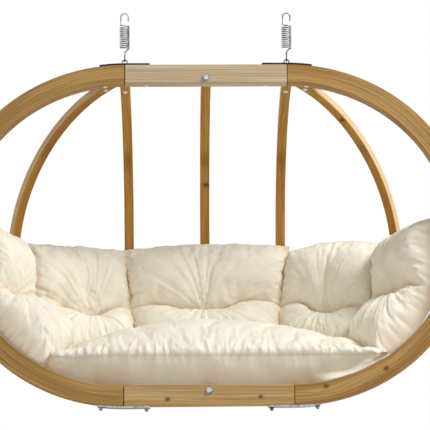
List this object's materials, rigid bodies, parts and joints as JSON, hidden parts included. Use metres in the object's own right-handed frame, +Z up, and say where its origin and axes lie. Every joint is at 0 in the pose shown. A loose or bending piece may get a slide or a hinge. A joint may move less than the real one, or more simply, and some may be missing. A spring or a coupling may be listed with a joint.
{
  "type": "double hanging chair",
  "caption": "Wide hanging chair: an oval timber ring with bent ribs forming a bowl, lined with tufted cotton pillows and a seat cushion, hung from coil springs.",
  "frame": {"origin": "midway between the two points where the spring hooks hang", "axes": "+X right in a front view, +Y to the back, +Z up"},
  "size_m": [1.818, 0.7493, 1.3738],
  "materials": {
    "ring_timber": "oiled larch, planed",
    "rib_timber": "steam-bent and laminated, oiled",
    "tenon_timber": "raw",
    "plate_steel": "zinc-plated, dull",
    "zinc_fasteners": "zinc-plated",
    "zinc_wire": "zinc-plated wire",
    "cotton": "unbleached cotton, washed"
  },
  "bodies": {
    "springs": {"springs": "zinc_wire"},
    "lower_hooks": {"lower_hooks": "zinc_wire"},
    "chair": {"left_ring_arc": "ring_timber", "right_ring_arc": "ring_timber", "top_beam": "ring_timber", "bottom_beam": "ring_timber", "left_side_rib": "rib_timber", "left_back_rib": "rib_timber", "centre_rib": "rib_timber", "right_back_rib": "rib_timber", "right_side_rib": "rib_timber", "joint_tenons": "tenon_timber", "upper_left_plate": "plate_steel", "upper_right_plate": "plate_steel", "lower_left_plate": "plate_steel", "lower_right_plate": "plate_steel", "plate_bolts": "zinc_fasteners", "plate_nuts": "zinc_fasteners", "rib_bolts": "zinc_fasteners", "rib_nuts": "zinc_fasteners", "centre_bolts": "zinc_fasteners", "centre_washers": "zinc_fasteners", "barrel_nuts": "zinc_fasteners", "hanging_eyes": "zinc_wire", "centre_back_pillow": "cotton", "left_back_pillow": "cotton", "right_back_pillow": "cotton", "left_arm_pillow": "cotton", "right_arm_pillow": "cotton", "seat_cushion": "cotton"}
  },
  "joints": [
    {"name": "bounce", "type": "slide", "parent": "springs", "child": "lower_hooks", "axis": [0, 0, 1], "range_m": [-0.067, 0.01], "stiffness_N_per_m": 29200, "springref_m": 0.01005, "deforming": ["springs"]},
    {"name": "swing", "type": "hinge", "parent": "lower_hooks", "child": "chair", "pos_m": [0, 0, -0.163], "axis": [1, 0, 0], "range_deg": [-20, 20]}
  ]
}
